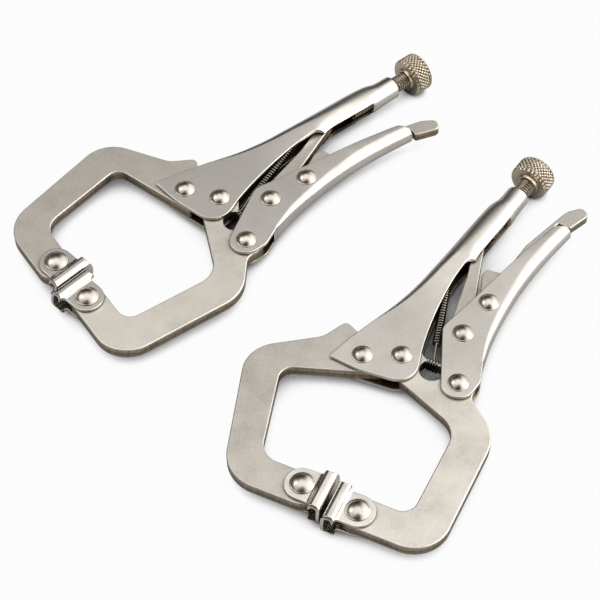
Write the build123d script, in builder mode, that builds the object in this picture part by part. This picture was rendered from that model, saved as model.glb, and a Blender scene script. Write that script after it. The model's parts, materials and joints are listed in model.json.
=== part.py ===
from build123d import *
from math import atan2, cos, degrees, radians, sin, sqrt
import os

# Pair of locking C-clamps, lying on their sides with the jaws closed.
# Each clamp is drawn in its own frame: the origin is on the main pivot, X runs along
# the adjusting screw towards the knob, Y points to the back of the handle and Z points
# up from the middle plane of the two jaw plates. All sizes are millimetres.

# Stock
JAW_THICK = 4.6
SHEET = 1.5
PAD_SHEET = 1.3
LINK_THICK = 4.2
RELEASE_THICK = 4.0
SIDE_PLAY = 0.05
RUNNING_FIT = 0.05
EDGE = 0.35

# Half widths of the folded channels, inside and outside
CHANNEL_IN = JAW_THICK / 2 + SIDE_PLAY
CHANNEL_OUT = CHANNEL_IN + SHEET
EAR_OUT = CHANNEL_IN + PAD_SHEET

# Rivets
SHANK_R = 2.5
HEAD_R = 3.9
HEAD_HIGH = 2.2
PAD_HEAD_R = 4.5
PAD_HEAD_HIGH = 2.4
HEAD_RIM = 0.35

# Pivots of the linkage
OUTER_PIVOT = (-7.9, 11.95)
JAW_TO_LEVER = (-2.9, -23.5)
LEVER_TO_LINK = (19.8, 10.35)
LEVER_TO_RELEASE = (37.2, 9.9)
LINK_LONG = 46.0
OUTER_TO_PAD = (-59.1, -3.35)
JAW_TO_PAD = (-66.8, -12.8)

# Screw and knob
SCREW_Y = 5.4
SCREW_R = 3.0
SCREW_TIP_X = 68.0
SCREW_END_X = 104.5
TIP_TAPER = 0.8
NECK_START_X = 80.0
NECK_END_X = 91.5
NECK_R = 4.5
NECK_END_R = 4.2
KNOB_START_X = 98.8
KNOB_LONG = 7.8
KNOB_R = 7.9
KNOB_EDGE = 0.7
COLLAR_R = 4.3
COLLAR_LONG = 0.9

# Swivel pads, measured from the pad rivet
PAD_REACH = 10.4
PAD_R = 9.2
EAR_R = 6.4
HUMP_HIGH = 5.3
HUMP_LONG = 4.1
HUMP_FOOT = 1.2

# Spring
COIL_R = 1.7
COIL_IN_R = 0.9
WIRE_R = 0.4
JAW_WIRE_START = 2.1
FIRST_COIL = 9.3
TAB_WIRE = 4.5
TAB_X = 45.0
TAB_LOW_Y = 6.4
TAB_HIGH = 5.4
TAB_HOOK = (44.2, 7.4)
BRIDGE_X = 2.7
BRIDGE_WIDE = 1.5
WRAP_Y = (-13.4, -8.8)
HOLE_AT = (-0.9, -12.3)
HOLE_R = 4.7

# How the two clamps lie: place of the main pivot, direction of the screw, and the
# turns of the jaws and of the release lever from the handle's own direction
REST_HIGH = KNOB_R
FRONT_AT = (35.04, -35.81)
FRONT_TURN = 54.0
FRONT_OUTER_TURN = 9.6
FRONT_JAW_TURN = 9.2
FRONT_RELEASE_TURN = 0.0
REAR_AT = (-31.29, 41.93)
REAR_TURN = 36.95
REAR_OUTER_TURN = -5.1
REAR_JAW_TURN = -4.7
REAR_RELEASE_TURN = -3.0
FRONT_HOOK_Y = -11.3
REAR_HOOK_Y = -8.7
FRONT_PAD_TURN = -80.0
REAR_PAD_TURN = -84.0


def at(plane, point, turn=0.0):
    """The plane moved to a point of its own and turned about its normal."""
    return Plane(plane.location * Location((point[0], point[1], 0), (0, 0, turn)))


def upright(plane):
    """The plane through X and the normal of the given plane."""
    return Plane(plane.origin, x_dir=plane.x_dir, z_dir=-plane.y_dir)


def across(plane, x):
    """The plane square to X at a distance along it; its own X is the old Y."""
    origin = plane.origin + plane.x_dir * x
    return Plane(origin, x_dir=plane.y_dir, z_dir=plane.x_dir)


def turned(vector, angle):
    """A point turned about the origin."""
    a = radians(angle)
    return (vector[0] * cos(a) - vector[1] * sin(a), vector[0] * sin(a) + vector[1] * cos(a))


def added(first, second):
    """The sum of two plane points."""
    return (first[0] + second[0], first[1] + second[1])


def save(body, label):
    """Name a finished piece and write it."""
    body.part.label = label
    export_step(body.part, f"parts/{label}.step")


def rivet(plane, seat, head_r=HEAD_R, head_high=HEAD_HIGH):
    """Rivet with a domed head at both ends; seat is the height of each head's underside."""
    top = seat + head_high
    with BuildPart() as body:
        with BuildSketch(upright(plane)):
            with BuildLine():
                Polyline(
                    (0, top), (0, 0), (SHANK_R, 0), (SHANK_R, seat), (head_r, seat),
                    (head_r, seat + HEAD_RIM),
                )
                TangentArc((0, top), (head_r, seat + HEAD_RIM), tangent=(1, 0))
            make_face()
        revolve(axis=Axis(plane.origin, plane.z_dir))
        mirror(about=plane)
    return body


def outer_jaw(plane):
    """Punched plate about its rivet: heel and root, sloping back, arm down to the pad."""
    with BuildPart() as body:
        with BuildSketch(plane.offset(-JAW_THICK / 2)):
            with BuildLine():
                FilletPolyline(
                    (-3.5, -10.5), (-0.5, -7.2), (7.2, -7.2), (7.2, 0.5), (12.7, 12.0), (3.0, 17.0),
                    (-13.3, 40.7), (-66.9, 24.2), (-66.8, -10.0), (-53.6, -10.0), (-53.7, 15.3),
                    (-16.1, 25.2),
                    radius=[1.2, 0.9, 7.1, 2, 2.4, 9, 13.5, 15.5, 6.4, 6.4, 8, 5],
                    close=True,
                )
            make_face()
            Circle(SHANK_R + RUNNING_FIT, mode=Mode.SUBTRACT)
            with Locations(OUTER_TO_PAD):
                Circle(SHANK_R, mode=Mode.SUBTRACT)
        extrude(amount=JAW_THICK)
        chamfer(rim_edges(body), EDGE)
    return body


def rim_edges(body):
    """Edges of the outline of a flat plate, without those of its round holes."""
    flats = body.faces().filter_by(Axis.Z).sort_by(SortBy.AREA)[-2:]
    return [edge for face in flats for edge in face.outer_wire().edges()]


def lever_jaw(plane):
    """Punched plate about the main pivot, with the spring's bridge beside a round hole."""
    with BuildPart() as body:
        with BuildSketch(plane.offset(-JAW_THICK / 2)):
            with BuildLine():
                FilletPolyline(
                    (-6.4, 6.4), (6.4, 6.4), (6.4, -3.6), (BRIDGE_X + BRIDGE_WIDE / 2, -8.0),
                    (BRIDGE_X + BRIDGE_WIDE / 2, -29.8), (-6.3, -29.8), (-17.5, -44.1),
                    (-73.0, -44.1), (-73.0, -6.2), (-60.1, -6.2), (-60.1, -29.8), (-20.7, -30.1),
                    (-9.9, -3.2), (-6.4, -1.3),
                    radius=[6.3, 6.3, 3, 1.5, 6.2, 5, 16, 13.5, 6.4, 6.4, 5.5, 10, 2, 2],
                    close=True,
                )
            make_face()
            Circle(SHANK_R + RUNNING_FIT, mode=Mode.SUBTRACT)
            with Locations(JAW_TO_LEVER):
                Circle(SHANK_R + RUNNING_FIT, mode=Mode.SUBTRACT)
            with Locations(JAW_TO_PAD):
                Circle(SHANK_R, mode=Mode.SUBTRACT)
            with BuildSketch(mode=Mode.PRIVATE) as window:
                with Locations(HOLE_AT):
                    Circle(HOLE_R)
                with Locations((BRIDGE_X - BRIDGE_WIDE / 2, HOLE_AT[1])):
                    Rectangle(
                        HOLE_R, 2 * HOLE_R, align=(Align.MIN, Align.CENTER), mode=Mode.SUBTRACT
                    )
            add(window.sketch, mode=Mode.SUBTRACT)
        extrude(amount=JAW_THICK)
        chamfer(rim_edges(body), EDGE)
    return body


def sheet_loft(plane, stations, inset):
    """Body through rounded sections; a station is x, top, bottom, half width, corner."""
    with BuildPart() as body:
        for x, top, bottom, half, corner in stations:
            with BuildSketch(across(plane, x)):
                with Locations(((top + bottom) / 2, 0)):
                    RectangleRounded(
                        top - bottom - 2 * inset, 2 * (half - inset), corner - inset
                    )
        loft()
    return body


def handle(plane):
    """Folded handle: flat nose walls, a channel open to the lever, tube and screw neck."""
    fold_x = 8.0
    stations = [
        (fold_x, 17.0, -16.0, CHANNEL_OUT, 2.5),
        (20.0, 14.9, -12.0, CHANNEL_OUT, 2.7),
        (32.0, 13.4, -8.0, 4.1, 3.2),
        (43.0, 12.8, -3.8, 4.7, 3.9),
        (54.0, 12.4, 0.4, 5.4, 5.0),
        (64.0, 12.2, 0.8, 5.6, 5.4),
        (73.0, 11.7, 0.7, 5.4, 5.2),
        (NECK_START_X, SCREW_Y + NECK_R, SCREW_Y - NECK_R, NECK_R, NECK_R - 0.05),
    ]
    outside = sheet_loft(plane, stations, 0)
    inside = sheet_loft(plane, stations[:-1], SHEET)
    with BuildPart() as body:
        add(outside.part)
        with BuildSketch(across(plane, NECK_START_X)):
            with Locations((SCREW_Y, 0)):
                Circle(NECK_R)
        with BuildSketch(across(plane, NECK_END_X)):
            with Locations((SCREW_Y, 0)):
                Circle(NECK_END_R)
        loft()
        add(inside.part, mode=Mode.SUBTRACT)
        with BuildSketch(across(plane, NECK_END_X)):
            with Locations((SCREW_Y, 0)):
                Circle(SCREW_R + RUNNING_FIT)
        extrude(amount=-(NECK_END_X - 70.0), mode=Mode.SUBTRACT)
        # Everything below the open edge of the channel
        with BuildSketch(plane.offset(-10)):
            with BuildLine():
                ThreePointArc((1.0, -7.4), (22.5, 0.0), (46.0, 2.9))
                Spline((46.0, 2.9), (50.5, 1.4), (54.5, -3.0), tangents=((1, 0), (0.3, -1)))
                Polyline((54.5, -3.0), (54.5, -20.0), (1.0, -20.0), (1.0, -7.4))
            make_face()
        extrude(amount=20, mode=Mode.SUBTRACT)
        # Slot through which the link leaves the tube
        with BuildSketch(plane.offset(-2.7)):
            with BuildLine():
                FilletPolyline(
                    (42.0, -5.0), (42.0, 4.5), (78.0, 4.5), (78.0, -5.0), radius=[1, 2]
                )
                Line((78.0, -5.0), (42.0, -5.0))
            make_face()
        extrude(amount=5.4, mode=Mode.SUBTRACT)
        # The two nose walls
        for low in (-CHANNEL_OUT, CHANNEL_IN):
            with BuildSketch(plane.offset(low)):
                with BuildLine():
                    nose = FilletPolyline(
                        (fold_x, 17.0), (-3.0, 19.8), (-14.9, 21.9), (-14.2, 10.0), (-9.2, -11.6),
                        (1.0, -7.4),
                        radius=[30, 0.6, 25, 8.3],
                    )
                    ThreePointArc((1.0, -7.4), (4.5, -5.95), (fold_x, -4.55))
                    Line((fold_x, -4.55), (fold_x, 17.0))
                make_face()
                Circle(SHANK_R, mode=Mode.SUBTRACT)
                with Locations(OUTER_PIVOT):
                    Circle(SHANK_R, mode=Mode.SUBTRACT)
            extrude(amount=SHEET)
        # Lanced tab that holds the spring
        with BuildSketch(plane.offset(-1.2)):
            with Locations((TAB_X, TAB_LOW_Y)):
                Rectangle(SHEET, TAB_HIGH, align=(Align.CENTER, Align.MIN))
        extrude(amount=2.4)
    return body


def lever(plane):
    """Folded lever: two walls with an ear at each side of the jaw, back fold to the end."""
    fold_x = 12.5
    end_x = 84.8
    high = 24.0
    stations = [
        (fold_x, high, -2.6, CHANNEL_OUT, 2.5),
        (24.0, high, 0.4, CHANNEL_OUT, 2.7),
        (36.0, high, 2.4, 3.9, 3.0),
        (48.0, high, 3.6, 4.2, 3.5),
        (60.0, high, 3.8, 4.5, 4.1),
        (72.0, high, 3.2, 4.5, 4.2),
        (end_x, high, 2.0, 4.2, 4.0),
    ]
    outside = sheet_loft(plane, stations, 0)
    inside = sheet_loft(plane, stations, SHEET)
    with BuildPart() as body:
        add(outside.part)
        add(inside.part, mode=Mode.SUBTRACT)
        # Everything above the open edge, and the rounded end
        with BuildSketch(plane.offset(-10)):
            with BuildLine():
                FilletPolyline(
                    (fold_x, 11.1), (18.2, 18.2), (66.0, 11.2), (82.6, 8.2), (86.2, 2.0),
                    (84.8, -2.0), (95.0, -2.0), (95.0, 30.0), (fold_x, 30.0), (fold_x, 11.1),
                    radius=[0, 4.5, 60, 3.5, 2, 0, 0, 0, 0],
                    close=True,
                )
            make_face()
        extrude(amount=20, mode=Mode.SUBTRACT)
        for low in (-CHANNEL_OUT, CHANNEL_IN):
            with BuildSketch(plane.offset(low)):
                with BuildLine():
                    FilletPolyline(
                        (fold_x, 11.1), (-6.4, 3.6), (-6.4, -6.4), (4.8, -6.4), (fold_x, -2.6),
                        radius=[5.4, 6.3, 5],
                    )
                    Line((fold_x, -2.6), (fold_x, 11.1))
                make_face()
                Circle(SHANK_R, mode=Mode.SUBTRACT)
            extrude(amount=SHEET)
        # Rivet holes, with a flat seat for each head
        for pivot in (LEVER_TO_LINK, LEVER_TO_RELEASE):
            with BuildSketch(at(plane, pivot).offset(-10)):
                Circle(SHANK_R)
            extrude(amount=20, mode=Mode.SUBTRACT)
            with BuildSketch(at(plane, pivot).offset(CHANNEL_OUT)):
                Circle(HEAD_R + 0.2)
            extrude(amount=1, mode=Mode.SUBTRACT)
            with BuildSketch(at(plane, pivot).offset(-CHANNEL_OUT)):
                Circle(HEAD_R + 0.2)
            extrude(amount=-1, mode=Mode.SUBTRACT)
    return body


def link(plane):
    """Link from the lever to the screw tip: broad hub, straight lower edge, round head."""
    with BuildPart() as body:
        with BuildSketch(plane.offset(-LINK_THICK / 2)):
            with BuildLine():
                FilletPolyline(
                    (-5.0, 5.1), (5.0, 5.4), (28.5, 2.2), (LINK_LONG + 2.3, 2.3),
                    (LINK_LONG + 2.3, -2.3), (9.0, -2.3), (4.4, -4.9), (-5.0, -4.9),
                    radius=[4.8, 6, 30, 2.2, 2.2, 5, 4, 4.7],
                    close=True,
                )
            make_face()
            Circle(SHANK_R + RUNNING_FIT, mode=Mode.SUBTRACT)
        extrude(amount=LINK_THICK)
        chamfer(rim_edges(body), EDGE)
    return body


def release_lever(plane):
    """Release lever inside the lever: hub, thumb-high nose under the link, long tail."""
    with BuildPart() as body:
        with BuildSketch(plane.offset(-RELEASE_THICK / 2)):
            with BuildLine():
                FilletPolyline(
                    (-4.4, 4.4), (1.4, 4.4), (10.6, 9.6), (14.3, 9.6), (15.9, 3.4), (33.0, 1.4),
                    (55.5, -1.9), (60.6, -5.0), (58.7, -10.3), (48.9, -8.4), (48.7, -3.0),
                    (24.0, -1.9), (8.0, -3.6), (3.0, -4.4), (-4.4, -4.4),
                    radius=[4.3, 3, 2, 1.6, 3, 30, 8, 2.4, 2.4, 0.8, 0.8, 20, 6, 3, 4.3],
                    close=True,
                )
            make_face()
            Circle(SHANK_R + RUNNING_FIT, mode=Mode.SUBTRACT)
        extrude(amount=RELEASE_THICK)
        chamfer(rim_edges(body), EDGE)
    return body


def adjusting_screw(plane):
    """Screw through the neck, at its outer thread size, with a tapered tip."""
    with BuildPart() as body:
        with BuildSketch(across(plane, SCREW_TIP_X)):
            with Locations((SCREW_Y, 0)):
                Circle(SCREW_R)
        extrude(amount=SCREW_END_X - SCREW_TIP_X)
        chamfer(body.edges().sort_by(Axis(plane.origin, plane.x_dir))[0], TIP_TAPER)
    return body


def knob(plane):
    """Round knob with broken edges, a small collar and a blind hole for the screw."""
    with BuildPart() as body:
        with BuildSketch(across(plane, KNOB_START_X)):
            with Locations((SCREW_Y, 0)):
                Circle(KNOB_R)
        extrude(amount=KNOB_LONG)
        chamfer(body.edges().filter_by(GeomType.CIRCLE), KNOB_EDGE)
        with BuildSketch(across(plane, KNOB_START_X)):
            with Locations((SCREW_Y, 0)):
                Circle(COLLAR_R)
        extrude(amount=-COLLAR_LONG)
        with BuildSketch(across(plane, KNOB_START_X - COLLAR_LONG)):
            with Locations((SCREW_Y, 0)):
                Circle(SCREW_R)
        extrude(amount=SCREW_END_X - KNOB_START_X + COLLAR_LONG, mode=Mode.SUBTRACT)
    return body


def swivel_pad(plane):
    """Stamped pad about its rivet: flat ears, a hump at each fold and a round face."""
    foot_x = PAD_REACH - HUMP_LONG
    inner_hump = HUMP_HIGH - PAD_SHEET
    skew = PAD_SHEET * 0.45
    with BuildPart() as body:
        with BuildSketch(upright(plane)):
            with BuildLine():
                FilletPolyline(
                    (-EAR_R - 1, EAR_OUT), (foot_x - HUMP_FOOT, EAR_OUT), (foot_x, HUMP_HIGH),
                    (PAD_REACH, HUMP_HIGH), (PAD_REACH, -HUMP_HIGH), (foot_x, -HUMP_HIGH),
                    (foot_x - HUMP_FOOT, -EAR_OUT), (-EAR_R - 1, -EAR_OUT),
                    (-EAR_R - 1, -CHANNEL_IN), (foot_x - HUMP_FOOT + skew, -CHANNEL_IN),
                    (foot_x + skew, -inner_hump), (PAD_REACH - PAD_SHEET, -inner_hump),
                    (PAD_REACH - PAD_SHEET, inner_hump), (foot_x + skew, inner_hump),
                    (foot_x - HUMP_FOOT + skew, CHANNEL_IN), (-EAR_R - 1, CHANNEL_IN),
                    radius=[0, 0.9, 1.0, 1.7, 1.7, 1.0, 0.9, 0, 0, 0.4, 0.3, 0.5, 0.5, 0.3, 0.4, 0],
                    close=True,
                )
            make_face()
        extrude(amount=PAD_R, both=True)
        with BuildSketch(across(plane, -EAR_R - 2)):
            Circle(PAD_R)
        extrude(amount=PAD_REACH + EAR_R + 4, mode=Mode.INTERSECT)
        with BuildSketch(plane.offset(-HUMP_HIGH - 1)):
            Circle(EAR_R)
            Rectangle(foot_x, 2 * EAR_R, align=(Align.MIN, Align.CENTER))
            with Locations((foot_x - HUMP_FOOT, 0)):
                Rectangle(PAD_REACH, 2 * PAD_R, align=(Align.MIN, Align.CENTER))
        extrude(amount=2 * HUMP_HIGH + 2, mode=Mode.INTERSECT)
        with BuildSketch(plane.offset(-HUMP_HIGH - 1)):
            Circle(SHANK_R + RUNNING_FIT)
        extrude(amount=2 * HUMP_HIGH + 2, mode=Mode.SUBTRACT)
    return body


def tension_spring(plane, start, end):
    """Spring at its coil size between the jaw's bridge and the tab, with its end wires."""
    run = (end[0] - start[0], end[1] - start[1])
    axis = at(plane, start, degrees(atan2(run[1], run[0])))
    far = sqrt(run[0] ** 2 + run[1] ** 2)
    last_coil = far - TAB_WIRE
    with BuildPart() as body:
        with BuildSketch(upright(axis)):
            with BuildLine():
                FilletPolyline(
                    (JAW_WIRE_START, 0), (JAW_WIRE_START, WIRE_R), (FIRST_COIL, WIRE_R),
                    (FIRST_COIL, COIL_R), (last_coil, COIL_R), (last_coil, WIRE_R),
                    (far, WIRE_R), (far, 0),
                    radius=[0, 0, 0, 0.4, 0.4, 0, 0, 0],
                    close=True,
                )
            make_face()
            with Locations(((FIRST_COIL + last_coil) / 2, COIL_IN_R / 2)):
                Rectangle(last_coil - FIRST_COIL - 4 * WIRE_R, COIL_IN_R, mode=Mode.SUBTRACT)
        revolve(axis=Axis(axis.origin, axis.x_dir))
    return body


def spring_turns(plane):
    """Last turns of the spring's wire, wound tightly round the bridge of the jaw."""
    with BuildPart() as body:
        pitch = (WRAP_Y[1] - WRAP_Y[0]) / 4
        for turn in range(4):
            middle = WRAP_Y[0] + pitch * (turn + 0.5)
            flat = Plane(
                plane.origin + plane.x_dir * BRIDGE_X + plane.y_dir * middle,
                x_dir=plane.x_dir,
                z_dir=-plane.y_dir,
            )
            with BuildSketch(flat.offset(-pitch / 2)):
                RectangleRounded(BRIDGE_WIDE + 4 * WIRE_R, JAW_THICK + 4 * WIRE_R, 1.2)
                Rectangle(BRIDGE_WIDE, JAW_THICK, mode=Mode.SUBTRACT)
            extrude(amount=pitch)
    return body


def make_clamp(name, place, outer_turn, jaw_turn, release_turn, pad_turn, hook_y):
    """Build one whole clamp on its plane and write every piece of it."""
    outer = at(place, OUTER_PIVOT, outer_turn)
    jaw = at(place, (0, 0), jaw_turn)
    lever_point = turned(JAW_TO_LEVER, jaw_turn)
    swing = at(place, lever_point)
    link_point = added(lever_point, LEVER_TO_LINK)
    link_rise = SCREW_Y - link_point[1]
    link_turn = degrees(atan2(link_rise, sqrt(LINK_LONG**2 - link_rise**2)))
    release_point = added(lever_point, LEVER_TO_RELEASE)
    outer_pad_point = added(OUTER_PIVOT, turned(OUTER_TO_PAD, outer_turn))
    jaw_pad_point = turned(JAW_TO_PAD, jaw_turn)

    save(handle(place), f"{name}_handle")
    save(outer_jaw(outer), f"{name}_outer_jaw")
    save(lever_jaw(jaw), f"{name}_lever_jaw")
    save(lever(swing), f"{name}_lever")
    save(link(at(place, link_point, link_turn)), f"{name}_link")
    save(release_lever(at(place, release_point, release_turn)), f"{name}_release_lever")
    save(adjusting_screw(place), f"{name}_adjusting_screw")
    save(knob(place), f"{name}_knob")
    save(swivel_pad(at(place, outer_pad_point, pad_turn)), f"{name}_outer_pad")
    save(swivel_pad(at(place, jaw_pad_point, pad_turn + 180)), f"{name}_lever_pad")
    bridge_point = turned((BRIDGE_X, hook_y), jaw_turn)
    save(tension_spring(place, bridge_point, TAB_HOOK), f"{name}_spring")
    save(spring_turns(jaw), f"{name}_spring_turns")
    save(rivet(at(place, OUTER_PIVOT), CHANNEL_OUT), f"{name}_outer_jaw_rivet")
    save(rivet(place, CHANNEL_OUT), f"{name}_main_rivet")
    save(rivet(swing, CHANNEL_OUT), f"{name}_lever_rivet")
    save(rivet(at(place, link_point), CHANNEL_OUT), f"{name}_link_rivet")
    save(rivet(at(place, release_point), CHANNEL_OUT), f"{name}_release_rivet")
    for label, point in (("outer", outer_pad_point), ("lever", jaw_pad_point)):
        pad_rivet = rivet(at(place, point), EAR_OUT + SIDE_PLAY, PAD_HEAD_R, PAD_HEAD_HIGH)
        save(pad_rivet, f"{name}_{label}_pad_rivet")


os.makedirs("parts", exist_ok=True)

front = at(Plane.XY.offset(REST_HIGH), FRONT_AT, FRONT_TURN)
rear = at(Plane.XY.offset(REST_HIGH), REAR_AT, REAR_TURN)
make_clamp(
    "front", front, FRONT_OUTER_TURN, FRONT_JAW_TURN, FRONT_RELEASE_TURN, FRONT_PAD_TURN,
    FRONT_HOOK_Y,
)
make_clamp(
    "rear", rear, REAR_OUTER_TURN, REAR_JAW_TURN, REAR_RELEASE_TURN, REAR_PAD_TURN,
    REAR_HOOK_Y,
)
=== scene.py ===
"""Looks for a pair of locking C-clamps lying on their sides on a pale floor."""
import json
import math

import bmesh
import bpy
from mathutils import Matrix, Vector

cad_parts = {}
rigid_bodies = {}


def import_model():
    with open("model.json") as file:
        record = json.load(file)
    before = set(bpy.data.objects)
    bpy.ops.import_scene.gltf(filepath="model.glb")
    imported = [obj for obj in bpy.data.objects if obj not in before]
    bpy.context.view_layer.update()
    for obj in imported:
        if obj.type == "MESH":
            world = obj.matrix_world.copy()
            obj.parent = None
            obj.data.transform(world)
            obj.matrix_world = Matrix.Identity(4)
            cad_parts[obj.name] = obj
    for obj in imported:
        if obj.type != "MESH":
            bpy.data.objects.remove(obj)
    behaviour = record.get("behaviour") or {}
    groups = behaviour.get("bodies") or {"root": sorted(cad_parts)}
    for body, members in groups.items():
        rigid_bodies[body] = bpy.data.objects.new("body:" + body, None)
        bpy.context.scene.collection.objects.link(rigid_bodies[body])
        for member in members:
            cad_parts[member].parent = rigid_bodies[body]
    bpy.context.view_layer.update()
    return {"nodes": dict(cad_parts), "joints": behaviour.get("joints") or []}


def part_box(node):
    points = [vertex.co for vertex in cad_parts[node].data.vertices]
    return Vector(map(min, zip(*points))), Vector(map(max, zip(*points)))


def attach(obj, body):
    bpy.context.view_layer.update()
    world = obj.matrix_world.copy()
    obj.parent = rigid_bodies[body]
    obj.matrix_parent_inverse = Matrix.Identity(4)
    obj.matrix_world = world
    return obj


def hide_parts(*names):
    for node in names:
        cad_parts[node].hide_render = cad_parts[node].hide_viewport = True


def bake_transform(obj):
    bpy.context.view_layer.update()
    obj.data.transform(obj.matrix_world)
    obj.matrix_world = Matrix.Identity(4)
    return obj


bl_info = {
    "name": "Locking C-clamps",
    "version": (1, 0, 0),
    "blender": (4, 5, 0),
    "location": "3D View > Sidebar > Clamps",
    "description": "Dresses the frame of a pair of locking C-clamps and sets up its studio",
    "category": "Add Mesh",
}

for left_over in list(bpy.data.objects):
    bpy.data.objects.remove(left_over)

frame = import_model()

MM = 0.001
CLAMPS = ("front", "rear")
JOINTS = {joint["name"]: joint for joint in frame["joints"]}
UP = Vector((0, 0, 1))

# Half the jaw plate, and the levels that rivet heads and pad rivet heads sit on, all from the
# jaws' middle plane
JAW_HALF = 2.3 * MM
WALL_OUT = 3.85 * MM
EAR_SEAT = 3.7 * MM


class ClampSizes(bpy.types.PropertyGroup):
    """Sizes of the details that the solids leave plain."""

    rim_round: bpy.props.FloatProperty(
        name="Plate rim", description="Width of the rounding on each broken plate edge",
        default=0.17 * MM, min=0, unit="LENGTH")
    sheet_round: bpy.props.FloatProperty(
        name="Sheet rim", description="Rounding on the edges of the folded sheet",
        default=0.32 * MM, min=0, unit="LENGTH")
    head_radius: bpy.props.FloatProperty(
        name="Rivet head", description="Radius of a rivet head",
        default=3.9 * MM, min=0, unit="LENGTH")
    head_height: bpy.props.FloatProperty(
        name="Rivet head height", description="Height of a rivet head",
        default=2.15 * MM, min=0, unit="LENGTH")
    pad_head_radius: bpy.props.FloatProperty(
        name="Pad rivet head", description="Radius of a pad rivet's head",
        default=4.5 * MM, min=0, unit="LENGTH")
    pad_head_height: bpy.props.FloatProperty(
        name="Pad rivet head height", description="Height of a pad rivet's head",
        default=2.2 * MM, min=0, unit="LENGTH")
    shoulder: bpy.props.FloatProperty(
        name="Head shoulder", description="Width of the flat ring round a rivet's dome",
        default=0.28 * MM, min=0, unit="LENGTH")
    thread_radius: bpy.props.FloatProperty(
        name="Thread", description="Outer radius of the screw's thread",
        default=3.3 * MM, min=0, unit="LENGTH")
    thread_pitch: bpy.props.FloatProperty(
        name="Thread pitch", description="Distance between two turns of the thread",
        default=1.1 * MM, min=0, unit="LENGTH")
    knob_radius: bpy.props.FloatProperty(
        name="Knob", description="Outer radius of the knob",
        default=7.9 * MM, min=0, unit="LENGTH")
    knurl_count: bpy.props.IntProperty(
        name="Knurls", description="Number of knurls round the knob", default=29, min=3)
    wire_radius: bpy.props.FloatProperty(
        name="Spring wire", description="Radius of the spring's wire",
        default=0.4 * MM, min=0, unit="LENGTH")
    coil_radius: bpy.props.FloatProperty(
        name="Spring coil", description="Outer radius of the spring's coils",
        default=1.7 * MM, min=0, unit="LENGTH")
    coil_turns: bpy.props.IntProperty(
        name="Coils", description="Number of coils in a spring", default=25, min=3)


class ClampFinishes(bpy.types.PropertyGroup):
    """Colours of the finishes, as written."""

    plate: bpy.props.StringProperty(
        name="Plated plate", description="Nickel on the flat faces, sRGB hex", default="#CBC4BA")
    bright: bpy.props.StringProperty(
        name="Brighter plate", description="Nickel on the lever jaws, sRGB hex", default="#E0D9CE")
    sheet: bpy.props.StringProperty(
        name="Plated sheet", description="Nickel on the folded sheet, sRGB hex", default="#DAD4CC")
    edge: bpy.props.StringProperty(
        name="Punched edge", description="Plating on a punched edge, sRGB hex", default="#B5A48F")
    dome: bpy.props.StringProperty(
        name="Rivet", description="Polished nickel on the rivets, sRGB hex", default="#C8BFB4")
    knob: bpy.props.StringProperty(
        name="Knob", description="Warm nickel on the screw and knob, sRGB hex", default="#D4C6B0")
    spring: bpy.props.StringProperty(
        name="Spring", description="Oiled spring steel, sRGB hex", default="#8C867E")
    # Darker colour inside the folds: painted shade
    inner: bpy.props.StringProperty(
        name="Inner wall", description="Painted shade: darker nickel inside the folds, sRGB hex", default="#8A7C6C")


class StudioSettings(bpy.types.PropertyGroup):
    """Floor, lamps and camera."""

    floor: bpy.props.StringProperty(
        name="Floor", description="Colour of the floor, sRGB hex", default="#A6A6A6")
    left_power: bpy.props.FloatProperty(
        name="Left lamp", description="Power of the left softbox", default=0.7, unit="POWER")
    right_power: bpy.props.FloatProperty(
        name="Right lamp", description="Power of the right softbox", default=2.6, unit="POWER")
    view_angle: bpy.props.FloatProperty(
        name="View", description="Angle of view of the camera",
        default=2 * math.atan(300 / 2039), subtype="ANGLE")
    tilt: bpy.props.FloatProperty(
        name="Tilt", description="Angle of the camera from straight down",
        default=math.radians(37.51), subtype="ANGLE")
    roll: bpy.props.FloatProperty(
        name="Roll", description="Turn of the camera about its own axis",
        default=math.radians(-1.70), subtype="ANGLE")
    distance: bpy.props.FloatProperty(
        name="Distance", description="Camera to the middle of the picture",
        default=0.760, unit="LENGTH")


def hex_colour(text):
    """An sRGB hex colour as linear red, green, blue and alpha."""
    values = [int(text[i:i + 2], 16) / 255 for i in (1, 3, 5)]
    return [v / 12.92 if v <= 0.04045 else ((v + 0.055) / 1.055) ** 2.4 for v in values] + [1.0]


def put(tree, kind, inputs=None, stops=None, **settings):
    """Add one node: its settings, its ramp's stops, and a value or a link for each input."""
    node = tree.nodes.new(kind)
    for name, value in settings.items():
        setattr(node, name, value)
    if stops:
        elements = node.color_ramp.elements
        while len(elements) < len(stops):
            elements.new(0.5)
        for element, (place, colour) in zip(elements, stops):
            element.position = place
            element.color = colour
    for name, value in (inputs or {}).items():
        if isinstance(value, bpy.types.NodeSocket):
            tree.links.new(value, node.inputs[name])
        else:
            node.inputs[name].default_value = value
    return node


def fresh(name):
    """A new material with an empty tree, and the tree's output node."""
    material = bpy.data.materials.new(name)
    material.use_nodes = True
    material.node_tree.nodes.clear()
    return material, put(material.node_tree, "ShaderNodeOutputMaterial")


def grey(value):
    """A grey ramp colour."""
    return (value, value, value, 1.0)


def scaled(colour, factor):
    """A colour made darker or lighter."""
    return [min(1.0, c * factor) for c in colour[:3]] + [1.0]


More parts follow.
